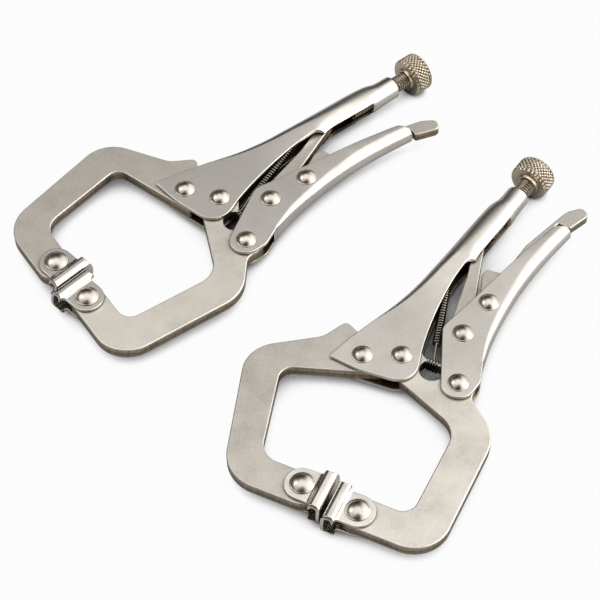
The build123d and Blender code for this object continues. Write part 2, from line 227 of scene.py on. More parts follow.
def plated(name, colour, cloud_mm, grain_mm, rough, rough_spread, bump_mm, contrast, painted_shade=None):
    """Nickel plate on steel: clouds in its tone, fine grain in its gloss and height.

    The last argument, if given, is the painted shade that creases take by ambient occlusion: its
    colour, and how far it reaches from them in millimetres.
    """
    material, output = fresh(name)
    tree = material.node_tree
    base = hex_colour(colour)
    place = put(tree, "ShaderNodeTexCoord").outputs["Object"]
    clouds = put(tree, "ShaderNodeTexNoise", {
        "Vector": place, "Scale": 1000 / cloud_mm, "Detail": 4.0, "Roughness": 0.6})
    grain = put(tree, "ShaderNodeTexNoise", {
        "Vector": place, "Scale": 1000 / grain_mm, "Detail": 3.0, "Roughness": 0.7})
    tone = put(tree, "ShaderNodeMix", {
        0: 0.45, 2: clouds.outputs["Fac"], 3: grain.outputs["Fac"]}, data_type="FLOAT")
    tint = put(tree, "ShaderNodeValToRGB", {"Fac": tone.outputs[0]}, stops=[
        (0.38, scaled(base, 1 - contrast)), (0.50, base),
        (0.62, scaled(base, 1 + 0.6 * contrast))])
    gloss = put(tree, "ShaderNodeMapRange", {
        "Value": tone.outputs[0], "From Min": 0.3, "From Max": 0.7,
        "To Min": rough + rough_spread, "To Max": rough - rough_spread})
    relief = put(tree, "ShaderNodeBump", {
        "Strength": 1.0, "Distance": bump_mm * MM, "Height": grain.outputs["Fac"]})
    colour_socket = tint.outputs["Color"]
    # Ambient occlusion darkens the colour in the creases: painted shade
    if painted_shade:
        crease = put(tree, "ShaderNodeAmbientOcclusion", {"Distance": painted_shade[1] * MM}, samples=6)
        shade = put(tree, "ShaderNodeValToRGB", {"Fac": crease.outputs["AO"]}, stops=[
            (0.30, hex_colour(painted_shade[0])), (0.86, (1, 1, 1, 1))])
        colour_with_painted_shade = put(tree, "ShaderNodeMix", {
            0: 1.0, 6: colour_socket, 7: shade.outputs["Color"]},
            data_type="RGBA", blend_type="MULTIPLY")
        colour_socket = colour_with_painted_shade.outputs[2]
    shader = put(tree, "ShaderNodeBsdfPrincipled", {
        "Base Color": colour_socket, "Metallic": 1.0, "Roughness": gloss.outputs["Result"],
        "Normal": relief.outputs["Normal"]})
    tree.links.new(shader.outputs["BSDF"], output.inputs["Surface"])
    return material


def punched_edge(name, colour, level):
    """Edge left by the punch: a burnished band, a torn band and the dark line between."""
    material, output = fresh(name)
    tree = material.node_tree
    base = hex_colour(colour)
    place = put(tree, "ShaderNodeTexCoord").outputs["Object"]
    parts = put(tree, "ShaderNodeSeparateXYZ", {"Vector": place})
    wander = put(tree, "ShaderNodeTexNoise", {
        "Vector": place, "Scale": 1000 / 4.0, "Detail": 3.0, "Roughness": 0.6})
    streaks_at = put(tree, "ShaderNodeMapping", {"Vector": place, "Scale": (1.0, 1.0, 0.12)})
    streaks = put(tree, "ShaderNodeTexNoise", {
        "Vector": streaks_at.outputs["Vector"], "Scale": 1000 / 0.7, "Detail": 3.0,
        "Roughness": 0.65})
    lifted = put(tree, "ShaderNodeMapRange", {
        "Value": wander.outputs["Fac"], "From Min": 0.2, "From Max": 0.8,
        "To Min": -0.9 * MM, "To Max": 0.9 * MM})
    height = put(tree, "ShaderNodeMath", {
        0: parts.outputs["Z"], 1: lifted.outputs["Result"]}, operation="ADD")
    band = put(tree, "ShaderNodeMapRange", {
        "Value": height.outputs["Value"], "From Min": level - JAW_HALF,
        "From Max": level + JAW_HALF, "To Min": 0.0, "To Max": 1.0})
    tint = put(tree, "ShaderNodeValToRGB", {"Fac": band.outputs["Result"]}, stops=[
        (0.0, scaled(base, 0.80)), (0.42, scaled(base, 0.62)), (0.50, scaled(base, 0.30)),
        (0.56, scaled(base, 0.85)), (1.0, scaled(base, 1.15))])
    dark = put(tree, "ShaderNodeMapRange", {
        "Value": streaks.outputs["Fac"], "From Min": 0.3, "From Max": 0.65,
        "To Min": 0.62, "To Max": 1.05})
    worn = put(tree, "ShaderNodeMix", {
        0: 1.0, 6: tint.outputs["Color"], 7: dark.outputs["Result"]},
        data_type="RGBA", blend_type="MULTIPLY")
    gloss = put(tree, "ShaderNodeMapRange", {
        "Value": streaks.outputs["Fac"], "From Min": 0.3, "From Max": 0.7,
        "To Min": 0.50, "To Max": 0.30})
    relief = put(tree, "ShaderNodeBump", {
        "Strength": 1.0, "Distance": 0.05 * MM, "Height": streaks.outputs["Fac"]})
    shader = put(tree, "ShaderNodeBsdfPrincipled", {
        "Base Color": worn.outputs[2], "Metallic": 1.0, "Roughness": gloss.outputs["Result"],
        "Normal": relief.outputs["Normal"]})
    tree.links.new(shader.outputs["BSDF"], output.inputs["Surface"])
    return material


# Painted shade in the creases, darkened by ambient occlusion: its colour, and its reach in
# millimetres
PLATE_PAINTED_SHADE = ("#5C4C3A", 1.6)
RIVET_PAINTED_SHADE = ("#2A1E15", 1.5)
PAD_PAINTED_SHADE = ("#3A2C20", 1.2)
KNOB_PAINTED_SHADE = ("#33261A", 1.0)
SPRING_PAINTED_SHADE = ("#0E0B09", 0.7)


def finishes():
    """Every finish of the clamps, made once."""
    if "Satin nickel on punched plate" in bpy.data.materials:
        return {m["finish"]: m for m in bpy.data.materials if "finish" in m}
    hexes = bpy.context.scene.clamp_finishes
    # Each: name, colour, cloud and grain in mm, roughness and its spread, bump in mm,
    # contrast, painted shade in the creases
    platings = {
        # Nickel over tumbled plate: a soft satin grey with a warm cast and fine speckle
        "plate": ("Satin nickel on punched plate", hexes.plate, 14, 0.45, 0.46, 0.08,
                  0.020, 0.20, PLATE_PAINTED_SHADE),
        # The same, in a lighter colour, on the lever jaws
        "bright": ("Brighter nickel on punched plate", hexes.bright, 14, 0.45, 0.46, 0.08,
                   0.020, 0.18, PLATE_PAINTED_SHADE),
        # Nickel over rolled sheet, smoother and brighter than the plate
        "sheet": ("Satin nickel on folded sheet", hexes.sheet, 16, 0.40, 0.33, 0.07,
                  0.014, 0.16, PLATE_PAINTED_SHADE),
        # Darker nickel inside the folds: painted shade, where the folds shut out the light
        "inner": ("Thin nickel inside the folds", hexes.inner, 8, 0.6, 0.34, 0.08,
                  0.010, 0.25, None),
        # Nickel on cold headed rivets, polished by the snap
        "dome": ("Polished nickel on rivets", hexes.dome, 5, 0.5, 0.28, 0.05,
                 0.005, 0.12, RIVET_PAINTED_SHADE),
        # Bright nickel on the stamped pads
        "pad": ("Bright nickel on stamped pads", hexes.sheet, 7, 0.5, 0.24, 0.05,
                0.008, 0.12, PAD_PAINTED_SHADE),
        # Nickel over brass-coloured flash on the turned parts
        "knob": ("Warm nickel on turned steel", hexes.knob, 6, 0.4, 0.30, 0.06,
                 0.005, 0.14, KNOB_PAINTED_SHADE),
        # Blackened and oiled music wire
        "wire": ("Oiled spring wire", hexes.spring, 3, 0.3, 0.24, 0.05,
                 0.002, 0.15, SPRING_PAINTED_SHADE),
    }
    made = {key: plated(*plating) for key, plating in platings.items()}
    # The plate's plating on the punch's cut: brownish, streaked along the punch's travel
    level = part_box("front_outer_jaw")[0].z + JAW_HALF
    made["edge"] = punched_edge("Nickel on punched edge", hexes.edge, level)
    for key, material in made.items():
        material["finish"] = key
    return made


def cleaned(mesh, near, flat, delimit=()):
    """Merge points that lie near each other, and faces within flat degrees of one plane."""
    bmesh.ops.remove_doubles(mesh, verts=mesh.verts, dist=near)
    bmesh.ops.dissolve_limit(
        mesh, angle_limit=math.radians(flat), use_dissolve_boundaries=False,
        verts=mesh.verts, edges=mesh.edges, delimit=set(delimit))


def rounded_edges(mesh, least, most, width, segments, clamp=False):
    """Round the edges whose faces meet at an angle between the two limits, in degrees."""
    least, most = math.radians(least), math.radians(most)
    bmesh.ops.bevel(
        mesh, geom=[e for e in mesh.edges
                    if len(e.link_faces) == 2 and least < e.calc_face_angle(0.0) < most],
        offset=width, offset_type="OFFSET", segments=segments, profile=0.5, affect="EDGES",
        clamp_overlap=clamp, material=-1)


def pulled(mesh, loop):
    """Extrude a loop of edges on the spot: the new loop, and its vertices."""
    made = bmesh.ops.extrude_edge_only(mesh, edges=loop)["geom"]
    return ([g for g in made if isinstance(g, bmesh.types.BMEdge)],
            [g for g in made if isinstance(g, bmesh.types.BMVert)])


def swept(mesh, geom, centre, axis, angle, steps, along=(0, 0, 0)):
    """Carry vertices and edges round an axis, and along it at each step."""
    return bmesh.ops.spin(
        mesh, geom=geom, cent=centre, axis=axis, dvec=along, angle=angle, steps=steps,
        use_merge=False, use_normal_flip=False, use_duplicate=False)["geom_last"]


def closed(mesh):
    """Fill every open end, and point the faces outwards."""
    bmesh.ops.holes_fill(mesh, edges=[e for e in mesh.edges if e.is_boundary], sides=0)
    bmesh.ops.recalc_face_normals(mesh, faces=mesh.faces)


def finish_piece(mesh, clamp, name, body, materials, node, choose=None, sharp=38.0,
                 place=None):
    """Turn a finished bmesh into a piece that rides on its body and replaces its node."""
    if place is not None:
        bmesh.ops.transform(mesh, verts=mesh.verts, matrix=place)
    for face in mesh.faces:
        face.smooth = True
        if choose:
            face.material_index = choose(face)
    for edge in mesh.edges:
        edge.smooth = not (
            len(edge.link_faces) == 2 and edge.calc_face_angle(0.0) > math.radians(sharp))
    data = bpy.data.meshes.new(f"{clamp}_{name}")
    mesh.to_mesh(data)
    mesh.free()
    piece = bpy.data.objects.new(f"{clamp}_{name}", data)
    bpy.context.scene.collection.objects.link(piece)
    for material in materials:
        data.materials.append(material)
    weighted = piece.modifiers.new("Face normals", "WEIGHTED_NORMAL")
    weighted.keep_sharp = True
    weighted.weight = 60
    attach(piece, f"{clamp}_{body}")
    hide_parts(f"{clamp}_{node}")
    return piece


def joint_place(name):
    """A joint's point and axis."""
    joint = JOINTS[name]
    return Vector(joint["pos_m"]), Vector(joint["axis"]).normalized()


def own_place(clamp, joint):
    """From a clamp's own millimetres, about a joint, to the row frame."""
    point, _ = joint_place(f"{clamp}_{joint}")
    _, along = joint_place(f"{clamp}_screw_turn")
    turned = Matrix((along, UP.cross(along), UP)).transposed().to_4x4()
    return Matrix.Translation(point) @ turned @ Matrix.Scale(MM, 4)


def is_wall(face):
    """1 for a face that stands upright, 0 for one that lies flat."""
    return 1 if abs(face.normal.z) < 0.5 else 0


# Tail of the release lever in its own millimetres: x where it starts to rise, has risen,
# starts to drop and ends; its lift; the height below which its root stays as it is; the height
# below which its end is slimmed, and by how much
TAIL_START = 16.0
TAIL_RISEN = 32.0
TAIL_DROP = 46.0
TAIL_END = 60.6
TAIL_LIFT = 1.8
TAIL_ROOT = -2.6
TAIL_LOW = -4.6
TAIL_SLIM = 0.12


def lifted_tail(mesh, clamp):
    """Raise and slim the release lever's tail, so that it shows along the lever."""
    place = own_place(clamp, "release_hinge")
    bmesh.ops.transform(mesh, verts=mesh.verts, matrix=place.inverted())
    for vertex in mesh.verts:
        x, y = vertex.co.xy
        if x > TAIL_START:
            share = min(1.0, (x - TAIL_START) / (TAIL_RISEN - TAIL_START))
            rise = TAIL_LIFT * share * share * (3 - 2 * share)
            if x > TAIL_DROP:
                rise *= 1 - (x - TAIL_DROP) / (TAIL_END - TAIL_DROP)
                rise += TAIL_SLIM * max(0.0, TAIL_LOW - y)
            if y > TAIL_ROOT or x > TAIL_DROP:
                vertex.co.y += rise
    bmesh.ops.transform(mesh, verts=mesh.verts, matrix=place)


# Each plate: its node, body and slot, and the finish of its flat faces
PLATES = (
    ("outer_jaw", "outer_arm", "jaw_steel", "plate"),
    ("lever_jaw", "lever_arm", "jaw_steel", "bright"),
    ("link", "toggle", "linkage_steel", "plate"),
    ("release_lever", "release", "linkage_steel", "plate"),
)


class CLAMP_OT_plates(bpy.types.Operator):
    """Jaws, links and release levers, punched from plate"""

    bl_idname = "clamp.plates"
    bl_label = "Punched plates"

    def execute(self, context):
        sizes = context.scene.clamp_sizes
        finish = finishes()
        for clamp in CLAMPS:
            for part, body, slot, kind in PLATES:
                # A merged copy of the solid, with whole flat faces
                mesh = bmesh.new()
                mesh.from_mesh(frame["nodes"][f"{clamp}_{part}"].data)
                cleaned(mesh, 0.0005 * MM, 0.25)
                if part == "release_lever":
                    lifted_tail(mesh, clamp)
                # The solids' chamfers stand at 45 degrees, and only their edges are rounded
                rounded_edges(mesh, 38, 52, sizes.rim_round, 2, clamp=True)
                finish_piece(mesh, clamp, f"{part}_plate", body,
                             [finish[kind], finish["edge"]], part, is_wall)
        return {"FINISHED"}


# Thickness of the folded sheet, height of the screw's axis, radius of the neck's bore, x where
# the bore starts and ends, and x where the fold's inside ends, in mm
SHEET = 1.5
SCREW_LEVEL = 5.4
BORE = 3.4
BORE_ENDS = (91.5, 74.2)
FOLD_END = 74.0

# Sections of the folded sheets in a clamp's own mm: x, top, bottom, half width, corner
HANDLE_SECTIONS = (
    (8.3, 17.0, -16.0, 3.85, 0.5), (20.0, 14.9, -12.0, 3.85, 2.3), (32.0, 13.4, -8.0, 4.1, 3.2),
    (43.0, 12.8, -3.8, 4.7, 3.9), (54.0, 12.4, 0.4, 5.4, 5.0), (64.0, 12.2, 0.6, 5.6, 5.4),
    (73.0, 11.9, 0.4, 5.5, 5.3), (79.5, 11.5, 0.4, 5.3, 5.2), (82.0, 10.9, 0.6, 5.1, 5.05),
    (84.5, 10.2, 0.8, 4.75, 4.7), (91.5, 10.0, 0.9, 4.6, 4.55),
)
LEVER_SECTIONS = (
    (12.8, 24.0, -2.6, 3.85, 0.8), (24.0, 24.0, 0.4, 3.85, 2.4), (36.0, 24.0, 2.4, 3.9, 3.0),
    (48.0, 24.0, 3.6, 4.2, 3.5), (60.0, 24.0, 3.8, 4.5, 4.1), (72.0, 24.0, 3.2, 4.5, 4.2),
    (84.8, 24.0, 2.0, 4.2, 4.0),
)

# Side outlines that trim them: corners with the radius of each
HANDLE_OUTLINE = (
    (-14.9, 21.9, 0.6), (-14.2, 10.0, 25.0), (-9.2, -11.6, 8.3), (22.41, 2.515, 111.0),
    (53.2, 3.3, 5.0), (54.5, -20.0, 0), (95.0, -20.0, 0), (95.0, 35.0, 0), (8.4, 35.0, 0),
    (8.4, 17.0, 0), (-3.0, 19.8, 30.0),
)
LEVER_OUTLINE = (
    (18.2, 18.2, 4.5), (-6.4, 3.6, 5.4), (-6.4, -6.4, 6.3), (4.8, -6.4, 5.0),
    (12.9, -2.5, 0), (12.9, -30.0, 0), (84.6, -30.0, 0), (86.2, 2.0, 2.0), (82.6, 8.2, 3.5),
    (66.0, 11.2, 60.0),
)
# Slot in the belly of the handle that the link swings through, and half its width
SLOT_OUTLINE = ((42.0, -5.0, 0), (42.0, 4.5, 1.0), (78.0, 4.5, 2.0), (78.0, -5.0, 0))
SLOT_HALF = 2.7
# Half the height of a block that trims the full width
PAST = 10
# Sections ahead of a fold, where the outline cuts it off: how far ahead, how much taller
FLARE = ((27.0, 11.5), (10.0, 6.0), (3.3, 2.8))
# How strongly each fold flares there: the handle upwards, the lever downwards
HANDLE_FLARE = 1
LEVER_FLARE = -1.3
# Faces in each quarter turn of a section, and the distance between two sections
CORNER_STEPS = 8
RING_STEP = 2.0


def between(sections, x):
    """The section at x, on a smooth curve through the given ones."""
    last = len(sections) - 1
    i = max(k for k in range(last) if sections[k][0] <= x + 1e-9)
    left, right = sections[i], sections[i + 1]
    t = (x - left[0]) / (right[0] - left[0])
    before = sections[max(0, i - 1)]
    after = sections[min(last, i + 2)]
    values = []
    for k in range(1, 5):
        slope = right[k] - left[k]
        start = (right[k] - before[k]) * (right[0] - left[0]) / (right[0] - before[0])
        end = (after[k] - left[k]) * (right[0] - left[0]) / (after[0] - left[0])
        values.append(
            left[k] + start * t + (3 * slope - 2 * start - end) * t * t
            + (start + end - 2 * slope) * t ** 3)
    return (x, *values)


def section_point(section, number, inset):
    """One point of a rounded section; the numbers run round its four corners."""
    x, top, bottom, half, corner = section
    corner = max(0.05, min(corner - inset, half - inset - 0.02, (top - bottom) / 2 - inset - 0.02))
    quarter, step = divmod(number, CORNER_STEPS + 1)
    angle = (quarter + step / CORNER_STEPS) * math.pi / 2
    rise = (top - inset - corner) if quarter in (0, 3) else (bottom + inset + corner)
    out = (half - inset - corner) * (1 if quarter in (0, 1) else -1)
    return Vector((x, rise + corner * math.cos(angle), out + corner * math.sin(angle)))


def folded_shell(rings):
    """Closed shell through rings of (section, inset); inner rings follow the outer ones."""
    mesh = bmesh.new()
    order = mesh.verts.layers.int.new("order")
    bmesh.ops.create_circle(
        mesh, cap_ends=False, segments=4 * (CORNER_STEPS + 1), radius=1)
    section, inset = rings[0]
    for number, vertex in enumerate(mesh.verts):
        vertex[order] = number
        vertex.co = section_point(section, number, inset)
    first = loop = list(mesh.edges)
    for section, inset in rings[1:]:
        before = set(mesh.faces)
        loop, vertices = pulled(mesh, loop)
        for vertex in vertices:
            vertex.co = section_point(section, vertex[order], inset)
        # Faces on the inside take the darker nickel, a painted shade
        for face in set(mesh.faces) - before:
            face.material_index = 1 if inset else 0
    bmesh.ops.bridge_loops(mesh, edges=first + loop)
    bmesh.ops.recalc_face_normals(mesh, faces=mesh.faces)
    return mesh


def rounded_prism(outline, low, high):
    """Straight block over an outline, with each corner rounded to its own radius."""
    mesh = bmesh.new()
    points = [Vector((x, y, low)) for x, y, _ in outline]
    vertices = [mesh.verts.new(p) for p in points]
    mesh.faces.new(vertices)
    for i, vertex in enumerate(vertices):
        radius = outline[i][2]
        if not radius:
            continue
        back = (points[i - 1] - points[i]).normalized()
        ahead = (points[(i + 1) % len(points)] - points[i]).normalized()
        reach = radius / math.tan(back.angle(ahead) / 2)
        bmesh.ops.bevel(
            mesh, geom=[vertex], offset=reach, offset_type="OFFSET", segments=10, profile=0.5,
            affect="VERTICES", clamp_overlap=False, material=-1)
    raised = bmesh.ops.extrude_face_region(mesh, geom=list(mesh.faces))["geom"]
    bmesh.ops.translate(
        mesh, vec=(0, 0, high - low),
        verts=[g for g in raised if isinstance(g, bmesh.types.BMVert)])
    bmesh.ops.recalc_face_normals(mesh, faces=mesh.faces)
    return mesh


def combined(mesh, cutter, operation):
    """Cut or trim one closed mesh with another; both are used up."""
    holders = []
    for part in (mesh, cutter):
        data = bpy.data.meshes.new("work")
        part.to_mesh(data)
        part.free()
        # Two empty slots, so that the faces keep their material numbers
        data.materials.append(None)
        data.materials.append(None)
        holders.append(bpy.data.objects.new("work", data))
        bpy.context.scene.collection.objects.link(holders[-1])
    step = holders[0].modifiers.new("cut", "BOOLEAN")
    step.solver = "EXACT"
    step.operation = operation
    step.object = holders[1]
    graph = bpy.context.evaluated_depsgraph_get()
    data = bpy.data.meshes.new_from_object(holders[0].evaluated_get(graph))
    result = bmesh.new()
    result.from_mesh(data)
    for holder in holders:
        spent = holder.data
        bpy.data.objects.remove(holder)
        bpy.data.meshes.remove(spent)
    bpy.data.meshes.remove(data)
    # The solver's order differs from run to run, so all is put in order along a slanting line
    line = Vector((1.0, 0.618034, 0.324718))
    result.verts.sort(key=lambda vertex: vertex.co.dot(line))
    result.edges.sort(key=lambda edge: (edge.verts[0].co + edge.verts[1].co).dot(line))
    result.faces.sort(key=lambda face: face.calc_center_median().dot(line))
    return result


def fold_rings(sections, strength):
    """Outer and inner rings of a fold, with the flaring stretch before it that is cut off."""
    first, end = sections[0], sections[-1][0]
    stretch = []
    for ahead, flare in FLARE:
        values = list(first)
        values[0] -= ahead
        values[1 if strength > 0 else 2] += strength * flare
        stretch.append(tuple(values))
    length = end - first[0]
    count = round(length / RING_STEP)
    stretch += [between(sections, min(first[0] + length * i / count, end - 1e-6))
                for i in range(count + 1)]
    return [(section, 0.0) for section in stretch], [(section, SHEET) for section in stretch]


def handle_rings():
    """The handle's rings: outside, round the neck's end, then back through bore and fold."""
    outer, inner = fold_rings(HANDLE_SECTIONS, HANDLE_FLARE)
    bore = (SCREW_LEVEL + BORE, SCREW_LEVEL - BORE, BORE, BORE - 0.02)
    # The small inset marks the bore's rings as inner ones
    through = [((x, *bore), 0.0001) for x in BORE_ENDS]
    return outer + through + [r for r in inner if r[0][0] < FOLD_END][::-1]


def lever_rings():
    """The lever's rings: outside, then back along the inside."""
    outer, inner = fold_rings(LEVER_SECTIONS, LEVER_FLARE)
    return outer + inner[::-1]


class CLAMP_OT_sheets(bpy.types.Operator):
    """Handles and levers, folded from sheet"""

    bl_idname = "clamp.sheets"
    bl_label = "Folded sheets"

    def execute(self, context):
        round_to = context.scene.clamp_sizes.sheet_round / MM
        finish = finishes()
        for part, body, joint, rings, outline in (
                ("handle", "frame", "lever_jaw_hinge", handle_rings(), HANDLE_OUTLINE),
                ("lever", "grip_lever", "lever_hinge", lever_rings(), LEVER_OUTLINE)):
            mesh = combined(folded_shell(rings), rounded_prism(outline, -PAST, PAST), "INTERSECT")
            if part == "handle":
                slot = rounded_prism(SLOT_OUTLINE, -SLOT_HALF, SLOT_HALF)
                mesh = combined(mesh, slot, "DIFFERENCE")
            cleaned(mesh, 0.06, 0.2, {"MATERIAL"})
            rounded_edges(mesh, 50, 180, round_to, 3)
            for clamp in CLAMPS:
                finish_piece(mesh.copy(), clamp, f"{part}_sheet", body,
                             [finish["sheet"], finish["inner"]], part,
                             place=own_place(clamp, joint))
            mesh.free()
        return {"FINISHED"}


# Each rivet: its node, the joint whose point it stands on, its body, and whether it holds a pad
RIVETS = (
    ("outer_jaw_rivet", "outer_jaw_hinge", "frame", False),
    ("main_rivet", "lever_jaw_hinge", "frame", False),
    ("lever_rivet", "lever_hinge", "grip_lever", False),
    ("link_rivet", "link_hinge", "grip_lever", False),
    ("release_rivet", "release_hinge", "grip_lever", False),
    ("outer_pad_rivet", "outer_pad_swivel", "outer_arm", True),
    ("lever_pad_rivet", "lever_pad_swivel", "lever_arm", True),
)


def dome(mesh, middle, side, seat, radius, height, shoulder):
    """One rivet head: a cap of a ball on a short shoulder, open below."""
    cap = radius - shoulder
    rim = 0.15 * height
    ball = (cap * cap + (height - rim) ** 2) / (2 * (height - rim))
    up = side * UP
    vertices = bmesh.ops.create_uvsphere(
        mesh, u_segments=40, v_segments=48, radius=ball,
        matrix=Matrix.Translation(middle + up * (seat + height) - up * ball))["verts"]
    edges = {e for v in vertices for e in v.link_edges}
    faces = {f for v in vertices for f in v.link_faces}
    cut = bmesh.ops.bisect_plane(
        mesh, geom=[*vertices, *edges, *faces], dist=1e-7,
        plane_co=middle + up * (seat + rim), plane_no=up, clear_inner=True)
    loop = [g for g in cut["geom_cut"] if isinstance(g, bmesh.types.BMEdge)]
    # The shoulder in two steps, then down to the seat, then in under the head
    for out, down in ((0.55 * shoulder, 0.02 * height), (0.45 * shoulder, 0.06 * height),
                      (0.0, rim - 0.08 * height), (-0.5 * radius, 0.0)):
        loop, ring = pulled(mesh, loop)
        for vertex in ring:
            spoke = Vector((vertex.co.x - middle.x, vertex.co.y - middle.y, 0))
            vertex.co += spoke.normalized() * out - up * down
    return loop


class CLAMP_OT_rivets(bpy.types.Operator):
    """Domed rivets at every pivot"""

    bl_idname = "clamp.rivets"
    bl_label = "Rivets"

    def execute(self, context):
        sizes = context.scene.clamp_sizes
        finish = finishes()
        for clamp in CLAMPS:
            for part, joint, body, at_pad in RIVETS:
                middle, _ = joint_place(f"{clamp}_{joint}")
                mesh = bmesh.new()
                radius = sizes.pad_head_radius if at_pad else sizes.head_radius
                height = sizes.pad_head_height if at_pad else sizes.head_height
                seat = EAR_SEAT if at_pad else WALL_OUT
                loops = [dome(mesh, middle, side, seat, radius, height, sizes.shoulder)
                         for side in (1, -1)]
                bmesh.ops.bridge_loops(mesh, edges=loops[0] + loops[1])
                bmesh.ops.remove_doubles(mesh, verts=mesh.verts, dist=0.001 * MM)
                bmesh.ops.recalc_face_normals(mesh, faces=mesh.faces)
                finish_piece(mesh, clamp, f"{part}_domed", body,
                             [finish["dome"]], part)
        return {"FINISHED"}


# A pad about its rivet, in mm: its profile in length and height, its plan, its round face and
# the bore for the rivet
PAD_PROFILE = (
    (-8.0, 3.65, 0), (5.1, 3.65, 1.6), (6.3, 5.3, 1.5), (10.4, 5.3, 2.3), (10.4, -5.3, 2.3),
    (6.3, -5.3, 1.5), (5.1, -3.65, 1.6), (-8.0, -3.65, 0), (-8.0, -2.35, 0), (5.7, -2.35, 0.6),
    (6.9, -4.0, 0.6), (9.1, -4.0, 1.0), (9.1, 4.0, 1.0), (6.9, 4.0, 0.6), (5.7, 2.35, 0.6),
    (-8.0, 2.35, 0),
)
PAD_PLAN = (
    (-6.4, -6.4, 6.3), (5.4, -6.4, 1.2), (6.0, -9.6, 0), (12.0, -9.6, 0), (12.0, 9.6, 0),
    (6.0, 9.6, 0), (5.4, 6.4, 1.2), (-6.4, 6.4, 6.3),
)
PAD_RADIUS = 9.2
RIVET_BORE = 2.55
PAD_ROUND = 0.22
# Turn of the outer pad from the handle, in degrees; the lever's pad looks the other way
PAD_TURNS = {"front": -80.0, "rear": -84.0}


def rod(radius, length, turn):
    """A round rod about the origin."""
    mesh = bmesh.new()
    bmesh.ops.create_cone(mesh, cap_ends=True, segments=72, radius1=radius, radius2=radius,
                          depth=length, matrix=turn)
    return mesh


def stamped_pad():
    """Folded strip with a rounded hump at each fold, trimmed to a round face and two ears."""
    # Every block and rod only has to reach past the pad
    mesh = rounded_prism(PAD_PROFILE, -PAD_RADIUS - 1, PAD_RADIUS + 1)
    bmesh.ops.rotate(mesh, verts=mesh.verts, matrix=Matrix.Rotation(math.pi / 2, 3, "X"))
    mesh = combined(mesh, rod(PAD_RADIUS, 60, Matrix.Rotation(math.pi / 2, 4, "Y")), "INTERSECT")
    mesh = combined(mesh, rounded_prism(PAD_PLAN, -8, 8), "INTERSECT")
    mesh = combined(mesh, rod(RIVET_BORE, 20, Matrix()), "DIFFERENCE")
    cleaned(mesh, 0.05, 0.2)
    rounded_edges(mesh, 55, 180, PAD_ROUND, 2)
    return mesh


class CLAMP_OT_pads(bpy.types.Operator):
    """Swivel pads stamped from sheet"""

    bl_idname = "clamp.pads"
    bl_label = "Swivel pads"

    def execute(self, context):
        finish = finishes()
        pad = stamped_pad()
        for clamp in CLAMPS:
            for part, body, turn in (("outer_pad", "outer_swivel", 0.0),
                                     ("lever_pad", "lever_swivel", 180.0)):
                facing = Matrix.Rotation(math.radians(PAD_TURNS[clamp] + turn), 4, "Z")
                finish_piece(pad.copy(), clamp, f"{part}_stamping", body,
                             [finish["pad"]], part,
                             place=own_place(clamp, f"{part}_swivel") @ facing)
        pad.free()
        return {"FINISHED"}


# The screw's tip before its joint, and its length, in mm
SCREW_TIP = 23.5
SCREW_LENGTH = 36.5
# Depth of the thread, and the plain tip before it, as shares of the pitch; steps in one turn
THREAD_DEPTH = 0.55
PLAIN_TIP = 0.6
THREAD_STEPS = 28


class CLAMP_OT_screws(bpy.types.Operator):
    """Adjusting screws with their rolled thread"""

    bl_idname = "clamp.screws"
    bl_label = "Adjusting screws"

    def execute(self, context):
        sizes = context.scene.clamp_sizes
        finish = finishes()
        pitch = sizes.thread_pitch
        crest = sizes.thread_radius
        root = crest - THREAD_DEPTH * pitch
        # One thread from root to root: share of the pitch, and radius
        form = ((0.0, root), (0.12, root), (0.44, crest), (0.62, crest), (0.94, root), (1.0, root))
        turns = int(SCREW_LENGTH * MM / pitch) - 2
        for clamp in CLAMPS:
            place, axis = joint_place(f"{clamp}_screw_turn")
            side = axis.cross(UP).normalized()
            start = place - axis * SCREW_TIP * MM + axis * pitch * PLAIN_TIP
            mesh = bmesh.new()
            line = [mesh.verts.new(start + axis * pitch * along + side * radius)
                    for along, radius in form]
            edges = [mesh.edges.new(pair) for pair in zip(line, line[1:])]
            swept(mesh, line + edges, place, axis, 2 * math.pi * turns, THREAD_STEPS * turns,
                  along=axis * pitch / THREAD_STEPS)
            bmesh.ops.remove_doubles(mesh, verts=mesh.verts, dist=0.01 * MM)
            closed(mesh)
            finish_piece(mesh, clamp, "adjusting_screw_thread", "screw",
                         [finish["knob"]], "adjusting_screw", sharp=60)
        return {"FINISHED"}


# The knob in mm: where it starts past the screw's joint, its height, the round of its rims,
# the knurl's depth, the radius of its flat ends, and the collar's radius and height
KNOB_START = 7.3
KNOB_HEIGHT = 7.8
KNOB_RIM = 0.7
KNURL_DEPTH = 0.60
KNOB_FLAT = 4.6
COLLAR = (4.3, 0.9)
# Faces along each knurl's width, and rows of faces from rim to rim
KNURL_STEPS = 6
KNURL_ROWS = 30
# Half the width of a knurl's groove, as a share of the distance between two
GROOVE = 0.42


